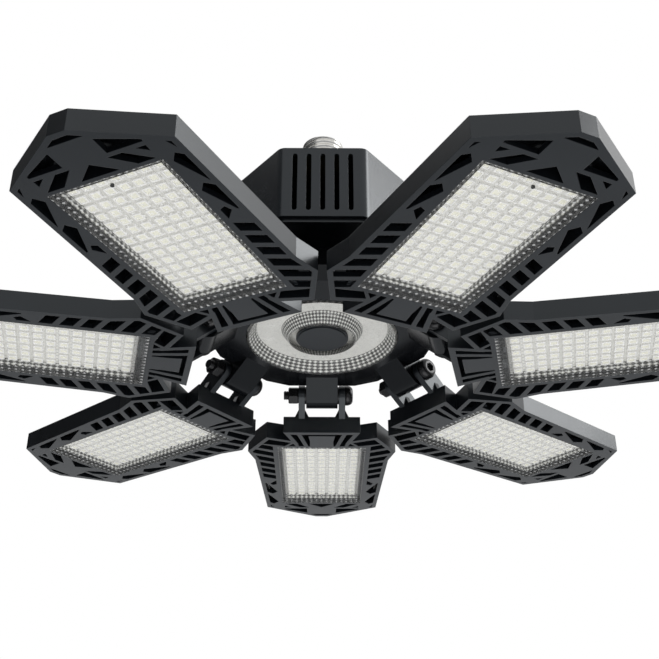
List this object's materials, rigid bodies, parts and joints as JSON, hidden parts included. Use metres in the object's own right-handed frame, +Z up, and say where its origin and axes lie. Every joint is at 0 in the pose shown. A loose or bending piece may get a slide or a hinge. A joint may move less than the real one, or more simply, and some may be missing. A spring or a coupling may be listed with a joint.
{
  "type": "folding ceiling lamp",
  "caption": "Screw-in ceiling lamp with a round centre light and a ring of hinged lattice-edged light wings round a faceted driver housing.",
  "frame": {"origin": "on the lamp's axis, in the plane of the lower rim of the screw shell", "axes": "+Z up along the screw base, out of the lamp; +Y towards the wing furthest from the camera in the picture, +X to its right"},
  "size_m": [0.468, 0.4562, 0.174],
  "materials": {
    "black_plastic": "fine-textured black moulding",
    "black_casting": "black powder coat on die-cast aluminium",
    "clear_lens": "clear moulded plastic with a prism pattern",
    "white_board": "white lacquered board with lamp chips",
    "green_board": "green lacquered board",
    "plated_steel": "zinc plated",
    "black_steel": "black oxide",
    "winding_tape": "yellow winding tape",
    "capacitor_sleeve": "shrunk sleeve",
    "nickel_shell": "nickel plated",
    "insulator": "black glass bead"
  },
  "bodies": {
    "hub": {"centre_cap": "black_plastic", "centre_contact": "nickel_shell", "collar": "black_plastic", "driver_board": "green_board", "driver_board_screws": "plated_steel", "driver_capacitors": "capacitor_sleeve", "driver_choke": "winding_tape", "driver_housing": "black_plastic", "driver_transformer": "winding_tape", "floor_screws": "plated_steel", "hinge_bolts": "black_steel", "hinge_hub": "black_casting", "hinge_nuts": "black_steel", "hinge_washers": "black_steel", "housing_floor": "black_plastic", "ring_board": "white_board", "ring_lens": "clear_lens", "screw_shell": "nickel_shell", "shell_insulator": "insulator"},
    "wing_1": {"wing_1_back": "black_casting", "wing_1_board": "white_board", "wing_1_frame": "black_plastic", "wing_1_lens": "clear_lens", "wing_1_screws": "plated_steel"},
    "wing_2": {"wing_2_back": "black_casting", "wing_2_board": "white_board", "wing_2_frame": "black_plastic", "wing_2_lens": "clear_lens", "wing_2_screws": "plated_steel"},
    "wing_3": {"wing_3_back": "black_casting", "wing_3_board": "white_board", "wing_3_frame": "black_plastic", "wing_3_lens": "clear_lens", "wing_3_screws": "plated_steel"},
    "wing_4": {"wing_4_back": "black_casting", "wing_4_board": "white_board", "wing_4_frame": "black_plastic", "wing_4_lens": "clear_lens", "wing_4_screws": "plated_steel"},
    "wing_5": {"wing_5_back": "black_casting", "wing_5_board": "white_board", "wing_5_frame": "black_plastic", "wing_5_lens": "clear_lens", "wing_5_screws": "plated_steel"},
    "wing_6": {"wing_6_back": "black_casting", "wing_6_board": "white_board", "wing_6_frame": "black_plastic", "wing_6_lens": "clear_lens", "wing_6_screws": "plated_steel"},
    "wing_7": {"wing_7_back": "black_casting", "wing_7_board": "white_board", "wing_7_frame": "black_plastic", "wing_7_lens": "clear_lens", "wing_7_screws": "plated_steel"}
  },
  "joints": [
    {"name": "wing_1_tilt", "type": "hinge", "parent": "hub", "child": "wing_1", "pos_m": [0, 0.0682, -0.125], "axis": [1, 0, 0], "range_deg": [-8, 45]},
    {"name": "wing_2_tilt", "type": "hinge", "parent": "hub", "child": "wing_2", "pos_m": [-0.05332, 0.04252, -0.125], "axis": [0.6235, 0.7818, 0], "range_deg": [-8, 45]},
    {"name": "wing_3_tilt", "type": "hinge", "parent": "hub", "child": "wing_3", "pos_m": [-0.06649, -0.01518, -0.125], "axis": [-0.2225, 0.9749, 0], "range_deg": [-8, 45]},
    {"name": "wing_4_tilt", "type": "hinge", "parent": "hub", "child": "wing_4", "pos_m": [-0.02959, -0.06145, -0.125], "axis": [-0.901, 0.4339, 0], "range_deg": [-8, 45]},
    {"name": "wing_5_tilt", "type": "hinge", "parent": "hub", "child": "wing_5", "pos_m": [0.02959, -0.06145, -0.125], "axis": [-0.901, -0.4339, 0], "range_deg": [-8, 45]},
    {"name": "wing_6_tilt", "type": "hinge", "parent": "hub", "child": "wing_6", "pos_m": [0.06649, -0.01518, -0.125], "axis": [-0.2225, -0.9749, 0], "range_deg": [-8, 45]},
    {"name": "wing_7_tilt", "type": "hinge", "parent": "hub", "child": "wing_7", "pos_m": [0.05332, 0.04252, -0.125], "axis": [0.6235, -0.7818, 0], "range_deg": [-8, 45]}
  ]
}
